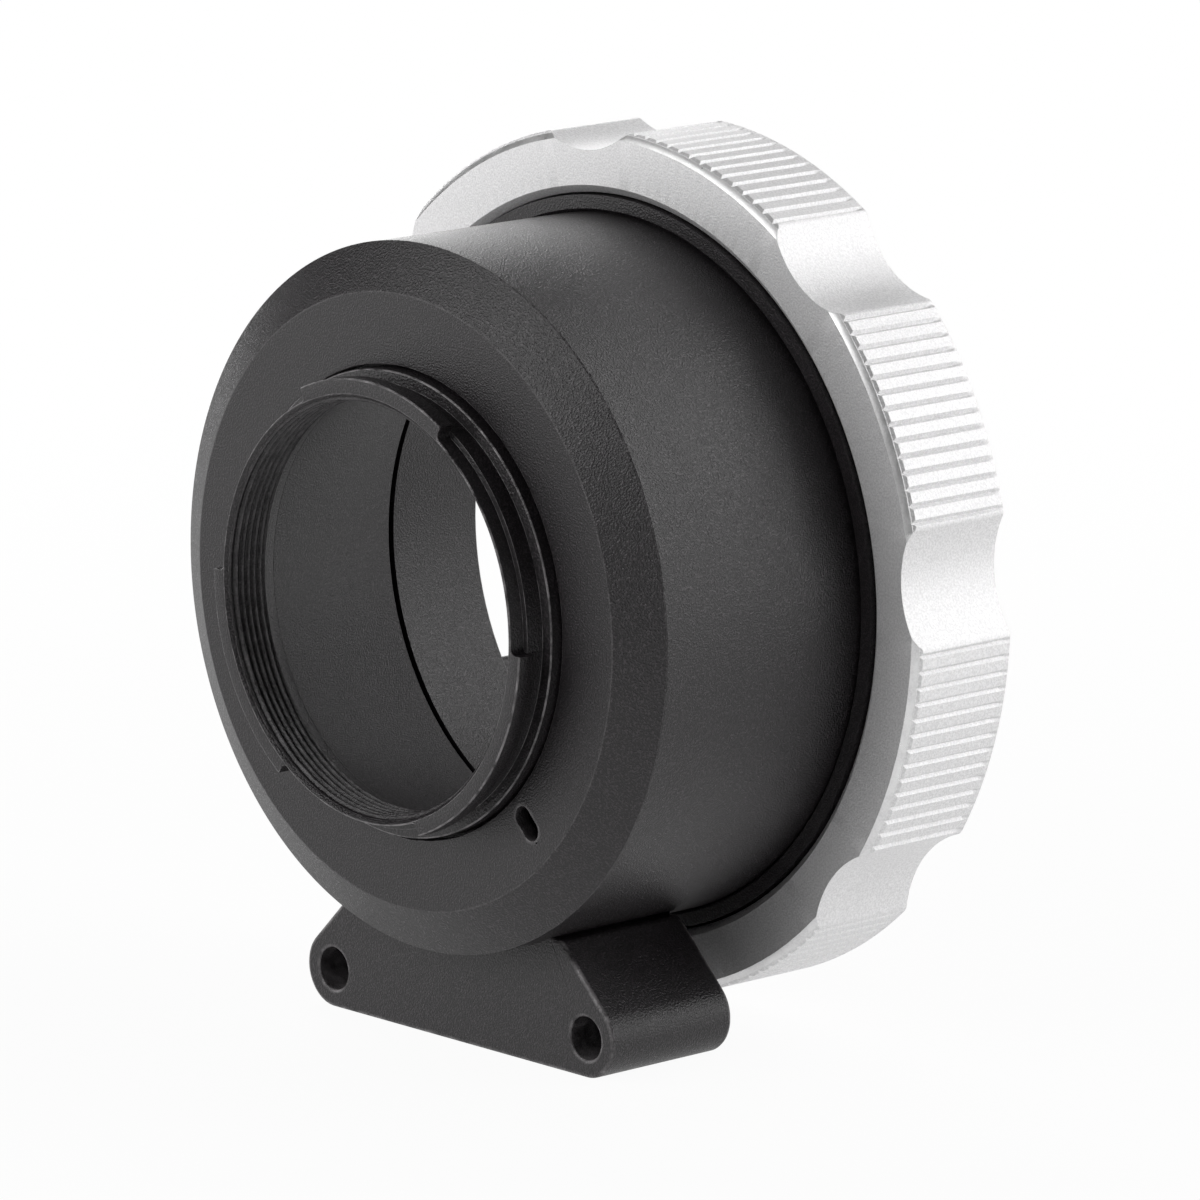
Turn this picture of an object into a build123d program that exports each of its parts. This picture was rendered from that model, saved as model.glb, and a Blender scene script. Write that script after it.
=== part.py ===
from build123d import *
import os
from math import cos, radians, sin, sqrt

os.makedirs("parts", exist_ok=True)

# Millimetres. The origin is on the optical axis in the flange face that meets the camera.
# The camera is towards -Y, the lens towards +Y, and the foot points down, -Z.
# Names ending in _r are radii, those ending in _angle are degrees from +X towards +Z.

# Shared fits and edge breaks
slide_gap = 0.08
turn_gap = 0.3
fit_gap = 0.1
edge_break = 0.3
fine_break = 0.15
hole_gap = 0.1

# Camera side: three lugs on a round spigot with a threaded mouth
lug_reach = 4.74
lug_thickness = 1.72
lug_height = 1.34
lug_fillet = 0.6
lug_spans = [(60.0, 114.0), (178.3, 234.6), (290.2, 357.0)]
neck_wall = 1.1
collar_step = 0.47
collar_height = 1.06
mouth_r = 20.66
mouth_depth = 5.11
spigot_wall = 0.53
bayonet_flange_thickness = 1.23
bayonet_boss_step = 1.3
bayonet_boss_depth = 1.77

# Front cover: flat flange face and the wide bevel
bevel_width = 4.68
cover_lip = 0.06
cover_thickness = 2.83
cover_hole_gap = 0.3
slot_offset = 3.2
slot_angle = -46.0
slot_length = 3.7
slot_width = 2.1

# Screws behind the cover
mount_screw_r = 0.8
mount_screw_head_r = 1.5
mount_screw_head_height = 1.2
mount_screw_reach = 1.9
mount_screw_count = 6
mount_screw_angle = 30.0
mount_screw_edge = 0.6
mount_head_gap = 0.5

# Barrel
barrel_wall = 3.0
web_thickness = 2.17
register = 34.0
shoulder_depth = 1.4

# Rear seat and throat
throat_r = 27.0
throat_edge = 0.4
sleeve_wall = 3.0
sleeve_length = 11.4
seat_flange_overlap = 4.4
seat_flange_thickness = 2.0
shim_thickness = 0.1
seat_screw_r = 0.8
seat_screw_head_r = 1.5
seat_screw_length = 5.0
seat_screw_count = 6
seat_screw_angle = 15.0
seat_screw_edge = 0.7
journal_edge = 1.2
pin_r = 1.4
pin_height = 2.0
pin_seat_depth = 1.4
pin_angle = 45.0
pin_offset = 0.6

# Inner liner
liner_wall = 1.5
liner_rim_length = 2.0
seam_width = 0.25

# Locking ring: inner ring with four ramped tabs
annulus_width = 1.7
axial_play = 0.1
lip_thickness = 2.9
washer_space = 0.5
washer_thickness = 0.42
annulus_overlap = 0.5
annulus_break = 0.25
ring_web = 1.0
lock_wall = 1.3
tab_height = 3.5
tab_rim = 2.8
tab_count = 4
tab_span = 43.0
tab_thickness = 3.0
tab_fillet = 0.8
ramp_rise = 0.6
wing_space = 3.0
turn_range = 50.0
stop_angle = 200.0
stop_screw_r = 0.8
stop_reach = 0.9
stop_clearance = 0.2
stop_edge = 0.2

# Locking ring: outer grip with finger scallops and ribs
grip_wall = 3.65
grip_edge_width = 0.62
grip_edge_height = 0.45
land_rise = 0.25
grip_proud = 0.12
grip_rear_guard = 0.36
grip_bore_gap = 0.2
grip_seat_gap = 0.05
grip_mouth = 0.75
grip_mouth_height = 0.67
land_step = 0.1
scallop_count = 8
scallop_angle = 5.0
scallop_depth = 2.17
scallop_r = 10.5
scallop_corner = 0.4
ribs_per_turn = 168
ribs_per_span = 14
rib_depth = 0.3
grip_screw_r = 0.8
grip_screw_length = 5.0
grip_screw_count = 4

# Foot
foot_setback = 4.24
foot_rear_gap = 5.1
foot_drop = 10.2
foot_wrap = 2.8
foot_shoulder_fillet = 1.0
foot_hole_r = 2.15
foot_hole_spacing = 37.46
foot_corner_r = 3.93
foot_screw_r = 1.5
foot_screw_head_r = 2.75
foot_screw_head_height = 3.0
foot_screw_recess = 4.0
foot_screw_bite = 1.9
foot_screw_spacing = 18.0
bush_r = 4.2
bush_thread_r = 2.9
bush_depth = 7.0

# Stations along the optical axis
lug_front = -lug_reach
lug_back = lug_front + lug_thickness
collar_front = -collar_height
mouth_end = lug_front + mouth_depth
web_back = cover_thickness + web_thickness
bayonet_flange_front = cover_thickness - bayonet_flange_thickness
bayonet_boss_back = cover_thickness + bayonet_boss_depth
seat_front = register - seat_flange_thickness
barrel_back = seat_front - shim_thickness
lip_back = barrel_back - axial_play
lip_front = lip_back - lip_thickness
shoulder = lip_front - washer_space
lock_front = shoulder - annulus_overlap
lock_step = lip_back - ring_web
tab_front = register + wing_space
tab_back = tab_front + tab_thickness
grip_front = lock_front - grip_proud
grip_back = tab_back + grip_rear_guard
seam = register - sleeve_length
liner_back = seam - seam_width
liner_rim_front = liner_back - liner_rim_length
liner_front = bayonet_flange_front + fit_gap
foot_front = cover_thickness + foot_setback
foot_back = lock_front - foot_rear_gap
stop_station = lip_front + stop_edge + stop_screw_r

# Radii on the camera side, from the mouth outwards
lug_gap_r = mouth_r + spigot_wall
lug_r = lug_gap_r + lug_height
neck_r = mouth_r + neck_wall
collar_r = lug_r + collar_step
cover_hole_r = collar_r + cover_hole_gap
bayonet_boss_r = collar_r + bayonet_boss_step
web_r = bayonet_boss_r + fit_gap
slot_centre_r = collar_r + slot_offset

# Radii on the lens side, from the throat outwards
sleeve_r = throat_r + sleeve_wall
pin_circle_r = sleeve_r + pin_offset
rear_bore_r = sleeve_r + fit_gap
seat_circle_r = rear_bore_r + seat_screw_edge + seat_screw_r
journal_r = seat_circle_r + seat_screw_r + journal_edge
seat_flange_r = journal_r + seat_flange_overlap
barrel_r = journal_r + shoulder_depth

# Radii of the front, from the barrel inwards
cavity_r = barrel_r - barrel_wall
mount_circle_r = cavity_r - mount_head_gap - mount_screw_head_r
cover_recess_r = mount_circle_r - mount_screw_r - mount_screw_edge
bayonet_flange_r = cover_recess_r - fit_gap
cover_r = barrel_r + cover_lip
face_r = cover_r - bevel_width

# Radii of the locking ring, from its bearings outwards
lip_r = journal_r + slide_gap
lock_pocket_r = barrel_r + slide_gap
lock_r = barrel_r + annulus_width
lock_cavity_r = seat_flange_r + turn_gap
lock_outer_r = lock_cavity_r + lock_wall
tab_opening_r = lock_cavity_r - tab_rim
tab_inner_r = tab_opening_r - tab_height
grip_bore_r = lock_r + grip_bore_gap
grip_mouth_r = grip_bore_r + grip_mouth
grip_seat_r = lock_outer_r + grip_seat_gap
grip_land_r = grip_seat_r + grip_wall
grip_edge_r = grip_land_r - land_rise
grip_face_r = grip_edge_r - grip_edge_width
scallop_centre_r = grip_land_r - scallop_depth + scallop_r
stop_floor_r = journal_r - stop_reach - stop_clearance

# Angles of the repeats
tab_pitch = 360 / tab_count
ramp_span = (tab_span + tab_pitch) / 2
scallop_pitch = 360 / scallop_count
tab_angle = scallop_angle + tab_pitch / 2
ribbed_half_span = (ribs_per_span - 1) / 2 * 360 / ribs_per_turn
grip_screw_angle = scallop_angle + scallop_pitch / 2

# Foot outline
foot_bottom = -barrel_r - foot_drop
foot_top = -barrel_r + foot_wrap
foot_hole_x = foot_hole_spacing / 2
foot_hole_z = foot_bottom + foot_corner_r
foot_middle = (foot_front + foot_back) / 2
foot_screw_top = foot_screw_bite - sqrt(barrel_r ** 2 - (foot_screw_spacing / 2) ** 2)


def facing(station):
    """Drawing plane square to the axis, seen from the camera: X right, Z up."""
    return Plane(origin=(0, station, 0), x_dir=(1, 0, 0), z_dir=(0, -1, 0))


def backing(station):
    """Drawing plane square to the axis, seen from the lens: -X right, Z up."""
    return Plane(origin=(0, station, 0), x_dir=(-1, 0, 0), z_dir=(0, 1, 0))


def meridian(angle):
    """Plane through the axis: its x is the radius at that angle, its y the station."""
    turn = radians(angle)
    return Plane(origin=(0, 0, 0), x_dir=(cos(turn), 0, sin(turn)), z_dir=(-sin(turn), 0, cos(turn)))


def spoke(angle, radius, station):
    """Plane square to the radius at that angle, its normal pointing outwards."""
    turn = radians(angle)
    centre = (radius * cos(turn), station, radius * sin(turn))
    return Plane(origin=centre, x_dir=(0, 1, 0), z_dir=(cos(turn), 0, sin(turn)))


def ramp(angle):
    """Plane of a tab's inclined front at that angle, highest at the edge that leads in the turn."""
    turn = radians(angle)
    slope = ramp_rise / (2 * tab_inner_r * sin(radians(tab_span / 2)))
    return Plane(origin=(0, tab_front + ramp_rise / 2, 0), x_dir=(cos(turn), 0, sin(turn)),
                 z_dir=(-slope * sin(turn), -1, slope * cos(turn)))


def sector(inner, outer, start, span):
    """Annular sector between two radii, from a start angle over a span."""
    with BuildSketch() as shape:
        with BuildLine():
            far = CenterArc((0, 0), outer, start, span)
            near = CenterArc((0, 0), inner, start, span)
            Line(far @ 0, near @ 0)
            Line(far @ 1, near @ 1)
        make_face()
    return shape.sketch


def distance(vertex):
    """Distance of a sketch corner from the axis."""
    return sqrt(vertex.X ** 2 + vertex.Y ** 2)


def cone_r(station):
    """Radius of the conical light path between the mouth and the seam."""
    return mouth_r + (throat_r - mouth_r) * (station - mouth_end) / (seam - mouth_end)


# Camera bayonet, turned, with the gaps between the lugs milled away
with BuildPart() as camera_bayonet:
    with BuildSketch(Plane.XY):
        with BuildLine():
            Polyline(
                (mouth_r + edge_break, lug_front),
                (lug_r - fine_break, lug_front),
                (lug_r, lug_front + fine_break),
                (lug_r, lug_back),
                (neck_r, lug_back),
                (neck_r, collar_front),
                (collar_r - fine_break, collar_front),
                (collar_r, collar_front + fine_break),
                (collar_r, bayonet_flange_front),
                (bayonet_flange_r, bayonet_flange_front),
                (bayonet_flange_r, cover_thickness),
                (bayonet_boss_r, cover_thickness),
                (bayonet_boss_r, bayonet_boss_back),
                (cone_r(liner_front) + liner_wall + fit_gap, bayonet_boss_back),
                (cone_r(liner_front) + liner_wall + fit_gap, liner_front),
                (cone_r(liner_front), liner_front),
                (mouth_r, mouth_end),
                (mouth_r, lug_front + edge_break),
                close=True,
            )
        make_face()
    revolve(axis=Axis.Y)
    with BuildSketch(facing(lug_front)) as lug_gaps:
        for this_span, next_span in zip(lug_spans, lug_spans[1:] + lug_spans[:1]):
            add(sector(lug_gap_r, lug_r + 1, this_span[1], (next_span[0] - this_span[1]) % 360))
        fillet(lug_gaps.vertices().filter_by(lambda v: distance(v) < lug_r), lug_fillet)
    extrude(amount=-lug_thickness, mode=Mode.SUBTRACT)
    with BuildSketch(facing(bayonet_flange_front)):
        with Locations(Rot(0, 0, slot_angle) * Pos(slot_centre_r, 0, 0)):
            SlotOverall(slot_length, slot_width)
    extrude(amount=-bayonet_flange_thickness, mode=Mode.SUBTRACT)
camera_bayonet.part.label = "camera_bayonet"

# Front cover with the bevel, the locking-pin slot and blind screw holes in its back
with BuildPart() as front_cover:
    with BuildSketch(Plane.XY):
        with BuildLine():
            Polyline(
                (cover_hole_r + fine_break, 0),
                (face_r, 0),
                (cover_r, cover_thickness - fine_break),
                (cover_r, cover_thickness),
                (cover_recess_r, cover_thickness),
                (cover_recess_r, bayonet_flange_front),
                (cover_hole_r, bayonet_flange_front),
                (cover_hole_r, fine_break),
                close=True,
            )
        make_face()
    revolve(axis=Axis.Y)
    with BuildSketch(facing(0)):
        with Locations(Rot(0, 0, slot_angle) * Pos(slot_centre_r, 0, 0)):
            SlotOverall(slot_length, slot_width)
    extrude(amount=-bayonet_flange_front, mode=Mode.SUBTRACT)
    with BuildSketch(facing(cover_thickness)):
        with PolarLocations(mount_circle_r, mount_screw_count, start_angle=mount_screw_angle):
            Circle(mount_screw_r)
    extrude(amount=mount_screw_reach, mode=Mode.SUBTRACT)
front_cover.part.label = "front_cover"

# Barrel: front web, tube, rear bore with the journal outside it, and the slot that ends the turn
stop_slot_r = stop_screw_r + fit_gap
with BuildPart() as barrel:
    with BuildSketch(Plane.XY):
        with BuildLine():
            Polyline(
                (web_r, cover_thickness),
                (barrel_r - fine_break, cover_thickness),
                (barrel_r, cover_thickness + fine_break),
                (barrel_r, shoulder),
                (journal_r, shoulder),
                (journal_r, barrel_back),
                (rear_bore_r, barrel_back),
                (rear_bore_r, liner_rim_front),
                (cavity_r, liner_rim_front),
                (cavity_r, web_back),
                (web_r, web_back),
                close=True,
            )
        make_face()
    revolve(axis=Axis.Y)
    with BuildSketch(facing(cover_thickness)):
        with PolarLocations(mount_circle_r, mount_screw_count, start_angle=mount_screw_angle):
            Circle(mount_screw_r + hole_gap)
    extrude(amount=-web_thickness, mode=Mode.SUBTRACT)
    with BuildSketch(facing(barrel_back)):
        with PolarLocations(seat_circle_r, seat_screw_count, start_angle=seat_screw_angle):
            Circle(seat_screw_r)
    extrude(amount=seat_screw_length, mode=Mode.SUBTRACT)
    with BuildSketch(meridian(stop_angle + turn_range)):
        with Locations((journal_r, stop_station)):
            Rectangle(2 * (journal_r - stop_floor_r), 2 * stop_slot_r)
    revolve(axis=Axis.Y, revolution_arc=turn_range, mode=Mode.SUBTRACT)
    for end_angle in (stop_angle, stop_angle + turn_range):
        with BuildSketch(spoke(end_angle, stop_floor_r, stop_station)):
            Circle(stop_slot_r)
        extrude(amount=barrel_wall, mode=Mode.SUBTRACT)
    with BuildSketch(Plane.XY.offset(-barrel_r)):
        with Locations((0, foot_middle)):
            with GridLocations(foot_screw_spacing, 1, 2, 1):
                Circle(foot_screw_r)
    extrude(amount=foot_screw_top + barrel_r, mode=Mode.SUBTRACT)
barrel.part.label = "barrel"

# Screws through the web into the cover, with hexagon sockets
with BuildPart() as mount_screws:
    with BuildSketch(facing(web_back)):
        with PolarLocations(mount_circle_r, mount_screw_count, start_angle=mount_screw_angle):
            Circle(mount_screw_r)
    extrude(amount=web_thickness + mount_screw_reach)
    with BuildSketch(facing(web_back)):
        with PolarLocations(mount_circle_r, mount_screw_count, start_angle=mount_screw_angle):
            Circle(mount_screw_head_r)
    extrude(amount=-mount_screw_head_height)
    with BuildSketch(facing(web_back + mount_screw_head_height)):
        with PolarLocations(mount_circle_r, mount_screw_count, start_angle=mount_screw_angle):
            RegularPolygon(mount_screw_head_r / 2, 6)
    extrude(amount=mount_screw_head_height / 2, mode=Mode.SUBTRACT)
mount_screws.part.label = "mount_screws"

# Inner liner: a matt cone that hides the screws, held in the bayonet and in the barrel's rear bore
with BuildPart() as inner_liner:
    lip_r_out = cone_r(liner_front) + liner_wall
    lip_end = bayonet_boss_back + fit_gap
    with BuildSketch(Plane.XY):
        with BuildLine():
            Polyline(
                (cone_r(liner_front), liner_front),
                (lip_r_out, liner_front),
                (lip_r_out, lip_end),
                (cone_r(lip_end) + liner_wall, lip_end),
                (cone_r(liner_rim_front) + liner_wall, liner_rim_front),
                (sleeve_r, liner_rim_front),
                (sleeve_r, liner_back),
                (cone_r(liner_back), liner_back),
                close=True,
            )
        make_face()
    revolve(axis=Axis.Y)
inner_liner.part.label = "inner_liner"

# Register shim between barrel and seat
with BuildPart() as seat_shim:
    with BuildSketch(facing(barrel_back)):
        Circle(journal_r - fit_gap)
        Circle(rear_bore_r, mode=Mode.SUBTRACT)
        with PolarLocations(seat_circle_r, seat_screw_count, start_angle=seat_screw_angle):
            Circle(seat_screw_r + hole_gap, mode=Mode.SUBTRACT)
    extrude(amount=-shim_thickness)
seat_shim.part.label = "seat_shim"

# Rear seat: the lens flange rests on its face, its sleeve is the throat
with BuildPart(backing(register)) as lens_seat:
    with BuildSketch(Plane.XY):
        with BuildLine():
            Polyline(
                (throat_r, seam),
                (sleeve_r, seam),
                (sleeve_r, seat_front),
                (seat_flange_r, seat_front),
                (seat_flange_r, register - fine_break),
                (seat_flange_r - fine_break, register),
                (throat_r + throat_edge, register),
                (throat_r, register - throat_edge),
                close=True,
            )
        make_face()
    revolve(axis=Axis.Y)
    with PolarLocations(seat_circle_r, seat_screw_count, start_angle=180 - seat_screw_angle):
        CounterSinkHole(seat_screw_r + hole_gap, seat_screw_head_r, seat_flange_thickness, 90)
    with BuildSketch(facing(register)):
        with PolarLocations(pin_circle_r, 1, start_angle=pin_angle):
            Circle(pin_r)
    extrude(amount=pin_seat_depth, mode=Mode.SUBTRACT)
lens_seat.part.label = "lens_seat"

# Countersunk screws of the seat
seat_head_height = seat_screw_head_r - seat_screw_r
with BuildPart(backing(register)) as seat_screws:
    with PolarLocations(seat_circle_r, seat_screw_count, start_angle=180 - seat_screw_angle):
        Cone(seat_screw_r, seat_screw_head_r, seat_head_height,
             align=(Align.CENTER, Align.CENTER, Align.MAX))
        Cylinder(seat_screw_r, register - barrel_back + seat_screw_length - fit_gap,
                 align=(Align.CENTER, Align.CENTER, Align.MAX))
    with BuildSketch(backing(register)):
        with PolarLocations(seat_circle_r, seat_screw_count, start_angle=180 - seat_screw_angle):
            RegularPolygon(seat_screw_head_r / 2, 6)
    extrude(amount=-seat_head_height, mode=Mode.SUBTRACT)
seat_screws.part.label = "seat_screws"

# Pin that keys the lens
with BuildPart() as index_pin:
    with BuildSketch(facing(register - pin_seat_depth)):
        with PolarLocations(pin_circle_r, 1, start_angle=pin_angle):
            Circle(pin_r)
    extrude(amount=-pin_seat_depth - pin_height)
    chamfer(index_pin.faces().sort_by(Axis.Y)[-1].edges(), edge_break)
index_pin.part.label = "index_pin"

# Drag washer between the barrel's shoulder and the locking ring's lip
with BuildPart() as drag_washer:
    with BuildSketch(facing(lip_front)):
        Circle(barrel_r - fit_gap)
        Circle(journal_r + fit_gap, mode=Mode.SUBTRACT)
    extrude(amount=washer_thickness)
drag_washer.part.label = "drag_washer"

# Locking ring, inner part: black annulus in front, journal lip, cavity round the seat, four tabs
with BuildPart() as lock_ring:
    with BuildSketch(Plane.XY):
        with BuildLine():
            Polyline(
                (lock_pocket_r + annulus_break, lock_front),
                (lock_r, lock_front),
                (lock_r, lock_step),
                (lock_outer_r, lock_step),
                (lock_outer_r, tab_front),
                (lock_cavity_r, tab_front),
                (lock_cavity_r, lip_back),
                (lip_r, lip_back),
                (lip_r, lip_front),
                (lock_pocket_r, lip_front),
                (lock_pocket_r, lock_front + annulus_break),
                close=True,
            )
        make_face()
    revolve(axis=Axis.Y)
    with BuildSketch(facing(tab_front)) as tab_plate:
        Circle(lock_outer_r)
        Circle(tab_opening_r, mode=Mode.SUBTRACT)
        for tab in range(tab_count):
            add(sector(tab_inner_r, tab_opening_r + fine_break, tab_angle + tab * tab_pitch - tab_span / 2,
                       tab_span))
        fillet(tab_plate.vertices().filter_by(lambda v: distance(v) < lock_cavity_r), tab_fillet)
    extrude(amount=-tab_thickness)
    for tab in range(tab_count):
        with BuildSketch(ramp(tab_angle + tab * tab_pitch)):
            add(sector(tab_inner_r - 1, tab_opening_r + tab_fillet, -ramp_span / 2, ramp_span))
        extrude(amount=ramp_rise, mode=Mode.SUBTRACT)
    with BuildSketch(spoke(stop_angle, journal_r, stop_station)):
        Circle(stop_screw_r)
    extrude(amount=lock_outer_r - journal_r, mode=Mode.SUBTRACT)
    with BuildSketch(facing(tab_back)):
        with PolarLocations(lock_outer_r, grip_screw_count, start_angle=grip_screw_angle):
            Circle(grip_screw_r)
    extrude(amount=grip_screw_length, mode=Mode.SUBTRACT)
lock_ring.part.label = "lock_ring"

# Stop screw: its point runs in the barrel's slot
with BuildPart() as stop_screw:
    with BuildSketch(spoke(stop_angle, journal_r - stop_reach, stop_station)):
        Circle(stop_screw_r)
    extrude(amount=lock_r - fine_break - journal_r + stop_reach)
    with BuildSketch(spoke(stop_angle, lock_r - fine_break, stop_station)):
        RegularPolygon(stop_screw_r / 2, 6)
    extrude(amount=-stop_screw_r, mode=Mode.SUBTRACT)
stop_screw.part.label = "stop_screw"

# Locking ring, outer part: silver grip with eight finger scallops and ribbed lands
with BuildPart() as grip_ring:
    with BuildSketch(Plane.XY):
        with BuildLine():
            Polyline(
                (grip_mouth_r, grip_front),
                (grip_face_r, grip_front),
                (grip_edge_r, grip_front + grip_edge_height),
                (grip_edge_r, grip_front + grip_edge_height + land_step),
                (grip_land_r, grip_front + grip_edge_height + land_step + grip_land_r - grip_edge_r),
                (grip_land_r, grip_back - edge_break),
                (grip_land_r - edge_break, grip_back),
                (grip_seat_r + edge_break, grip_back),
                (grip_seat_r, grip_back - edge_break),
                (grip_seat_r, lock_step),
                (grip_bore_r, lock_step),
                (grip_bore_r, grip_front + grip_mouth_height),
                close=True,
            )
        make_face()
    revolve(axis=Axis.Y)
    with BuildSketch(facing(grip_front)) as grip_outline:
        Circle(grip_land_r + fine_break)
        with PolarLocations(scallop_centre_r, scallop_count, start_angle=scallop_angle):
            Circle(scallop_r, mode=Mode.SUBTRACT)
        fillet(grip_outline.vertices().filter_by(lambda v: distance(v) > grip_land_r), scallop_corner)
    extrude(amount=grip_front - grip_back, mode=Mode.INTERSECT)
    with BuildSketch(facing(grip_front)):
        for span in range(scallop_count):
            middle = scallop_angle + (span + 0.5) * scallop_pitch
            with PolarLocations(grip_land_r, ribs_per_span, start_angle=middle - ribbed_half_span,
                                angular_range=2 * ribbed_half_span, endpoint=True):
                Polygon((-rib_depth, 0), (fine_break, -rib_depth - fine_break),
                        (fine_break, rib_depth + fine_break), align=None)
    extrude(amount=grip_front - grip_back, mode=Mode.SUBTRACT)
    with BuildSketch(facing(grip_back)):
        with PolarLocations(lock_outer_r, grip_screw_count, start_angle=grip_screw_angle):
            Circle(grip_screw_r)
    extrude(amount=grip_back - tab_back + grip_screw_length, mode=Mode.SUBTRACT)
grip_ring.part.label = "grip_ring"

# Grub screws on the joint line of the two rings
with BuildPart() as grip_screws:
    with BuildSketch(facing(tab_back)):
        with PolarLocations(lock_outer_r, grip_screw_count, start_angle=grip_screw_angle):
            Circle(grip_screw_r)
    extrude(amount=grip_screw_length)
    with BuildSketch(facing(tab_back)):
        with PolarLocations(lock_outer_r, grip_screw_count, start_angle=grip_screw_angle):
            RegularPolygon(grip_screw_r / 2, 6)
    extrude(amount=grip_screw_r, mode=Mode.SUBTRACT)
grip_screws.part.label = "grip_screws"

# Foot: block with two long holes, sloped sides and a saddle that wraps the barrel
with BuildPart() as support_foot:
    with BuildSketch(facing(foot_front)) as foot_outline:
        with BuildLine():
            Line((0, foot_bottom), (foot_hole_x, foot_bottom))
            corner = CenterArc((foot_hole_x, foot_hole_z), foot_corner_r, -90, 135)
            shoulder_x = (corner @ 1).X + (corner @ 1).Y - foot_top
            Line(corner @ 1, (shoulder_x, foot_top))
            Line((shoulder_x, foot_top), (0, foot_top))
            mirror(about=Plane.YZ)
        make_face()
        fillet(foot_outline.vertices().sort_by(Axis.Y)[-2:], foot_shoulder_fillet)
        with GridLocations(foot_hole_spacing, 1, 2, 1):
            with Locations((0, foot_hole_z)):
                Circle(foot_hole_r, mode=Mode.SUBTRACT)
    extrude(amount=foot_front - foot_back)
    chamfer(support_foot.faces().filter_by(Axis.Y).edges(), edge_break)
    with BuildSketch(facing(foot_front)):
        Circle(barrel_r)
    extrude(amount=foot_front - foot_back, mode=Mode.SUBTRACT)
    with BuildSketch(Plane.XY.offset(foot_bottom)):
        with Locations((0, foot_middle)):
            with GridLocations(foot_screw_spacing, 1, 2, 1):
                Circle(foot_screw_r + hole_gap)
    extrude(amount=foot_drop + foot_wrap, mode=Mode.SUBTRACT)
    with BuildSketch(Plane.XY.offset(foot_bottom)):
        with Locations((0, foot_middle)):
            with GridLocations(foot_screw_spacing, 1, 2, 1):
                Circle(foot_screw_head_r + hole_gap)
    extrude(amount=foot_screw_recess, mode=Mode.SUBTRACT)
    with BuildSketch(Plane.XY.offset(foot_bottom)):
        with Locations((0, foot_middle)):
            Circle(bush_r)
    extrude(amount=bush_depth, mode=Mode.SUBTRACT)
support_foot.part.label = "support_foot"

# Cap screws that hold the foot to the barrel, from below
with BuildPart() as foot_screws:
    with BuildSketch(Plane.XY.offset(foot_bottom + foot_screw_recess)):
        with Locations((0, foot_middle)):
            with GridLocations(foot_screw_spacing, 1, 2, 1):
                Circle(foot_screw_head_r)
    extrude(amount=-foot_screw_head_height)
    with BuildSketch(Plane.XY.offset(foot_bottom + foot_screw_recess)):
        with Locations((0, foot_middle)):
            with GridLocations(foot_screw_spacing, 1, 2, 1):
                Circle(foot_screw_r)
    extrude(amount=foot_screw_top - foot_bottom - foot_screw_recess)
    with BuildSketch(Plane.XY.offset(foot_bottom + foot_screw_recess - foot_screw_head_height)):
        with Locations((0, foot_middle)):
            with GridLocations(foot_screw_spacing, 1, 2, 1):
                RegularPolygon(foot_screw_head_r / 2, 6)
    extrude(amount=foot_screw_head_height / 2, mode=Mode.SUBTRACT)
foot_screws.part.label = "foot_screws"

# Threaded bush in the underside of the foot
with BuildPart() as foot_bush:
    with BuildSketch(Plane.XY.offset(foot_bottom)):
        with Locations((0, foot_middle)):
            Circle(bush_r)
            Circle(bush_thread_r, mode=Mode.SUBTRACT)
    extrude(amount=bush_depth)
foot_bush.part.label = "foot_bush"

nodes = [camera_bayonet, front_cover, barrel, mount_screws, inner_liner, seat_shim, lens_seat,
         seat_screws, index_pin, drag_washer, lock_ring, stop_screw, grip_ring, grip_screws,
         support_foot, foot_screws, foot_bush]
for node in nodes:
    export_step(node.part, "parts/" + node.part.label + ".step")
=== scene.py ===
import math

import bpy
import numpy as np
from bpy.props import FloatProperty, FloatVectorProperty, IntProperty, PointerProperty
from mathutils import Matrix, Vector


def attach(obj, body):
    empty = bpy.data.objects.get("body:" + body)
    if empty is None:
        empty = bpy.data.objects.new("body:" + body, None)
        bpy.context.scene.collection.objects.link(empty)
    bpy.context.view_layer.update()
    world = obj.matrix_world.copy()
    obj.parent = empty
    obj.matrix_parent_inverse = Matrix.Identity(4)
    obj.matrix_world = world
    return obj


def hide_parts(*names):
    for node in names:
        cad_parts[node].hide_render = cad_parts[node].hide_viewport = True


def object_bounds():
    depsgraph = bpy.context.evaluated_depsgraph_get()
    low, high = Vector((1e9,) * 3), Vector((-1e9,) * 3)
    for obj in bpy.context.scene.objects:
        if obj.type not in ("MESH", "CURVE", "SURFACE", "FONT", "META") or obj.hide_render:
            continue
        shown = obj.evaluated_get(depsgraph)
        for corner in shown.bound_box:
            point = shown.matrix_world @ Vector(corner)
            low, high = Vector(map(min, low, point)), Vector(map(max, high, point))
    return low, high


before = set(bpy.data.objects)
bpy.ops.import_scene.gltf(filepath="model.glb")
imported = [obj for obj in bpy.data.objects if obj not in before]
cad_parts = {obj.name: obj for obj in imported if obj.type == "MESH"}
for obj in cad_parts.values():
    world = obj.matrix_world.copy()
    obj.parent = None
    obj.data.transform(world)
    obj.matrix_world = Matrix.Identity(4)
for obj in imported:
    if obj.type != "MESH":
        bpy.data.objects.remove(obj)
cad_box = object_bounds()

MILLIMETRE = 0.001

# break of an edge that looks sharp
SHARP = 0.05 * MILLIMETRE

bl_info = {
    "name": "Lens mount adapter",
    "version": (1, 0, 0),
    "blender": (4, 5, 0),
    "location": "3D View > Sidebar > Adapter",
    "description": "Visible surfaces, finishes and studio of a lens mount adapter",
    "category": "Object",
}


def length(name, description, default):
    """A size in metres that shows in the sidebar."""
    return FloatProperty(name=name, description=description, default=default, unit="LENGTH", precision=5)


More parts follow.
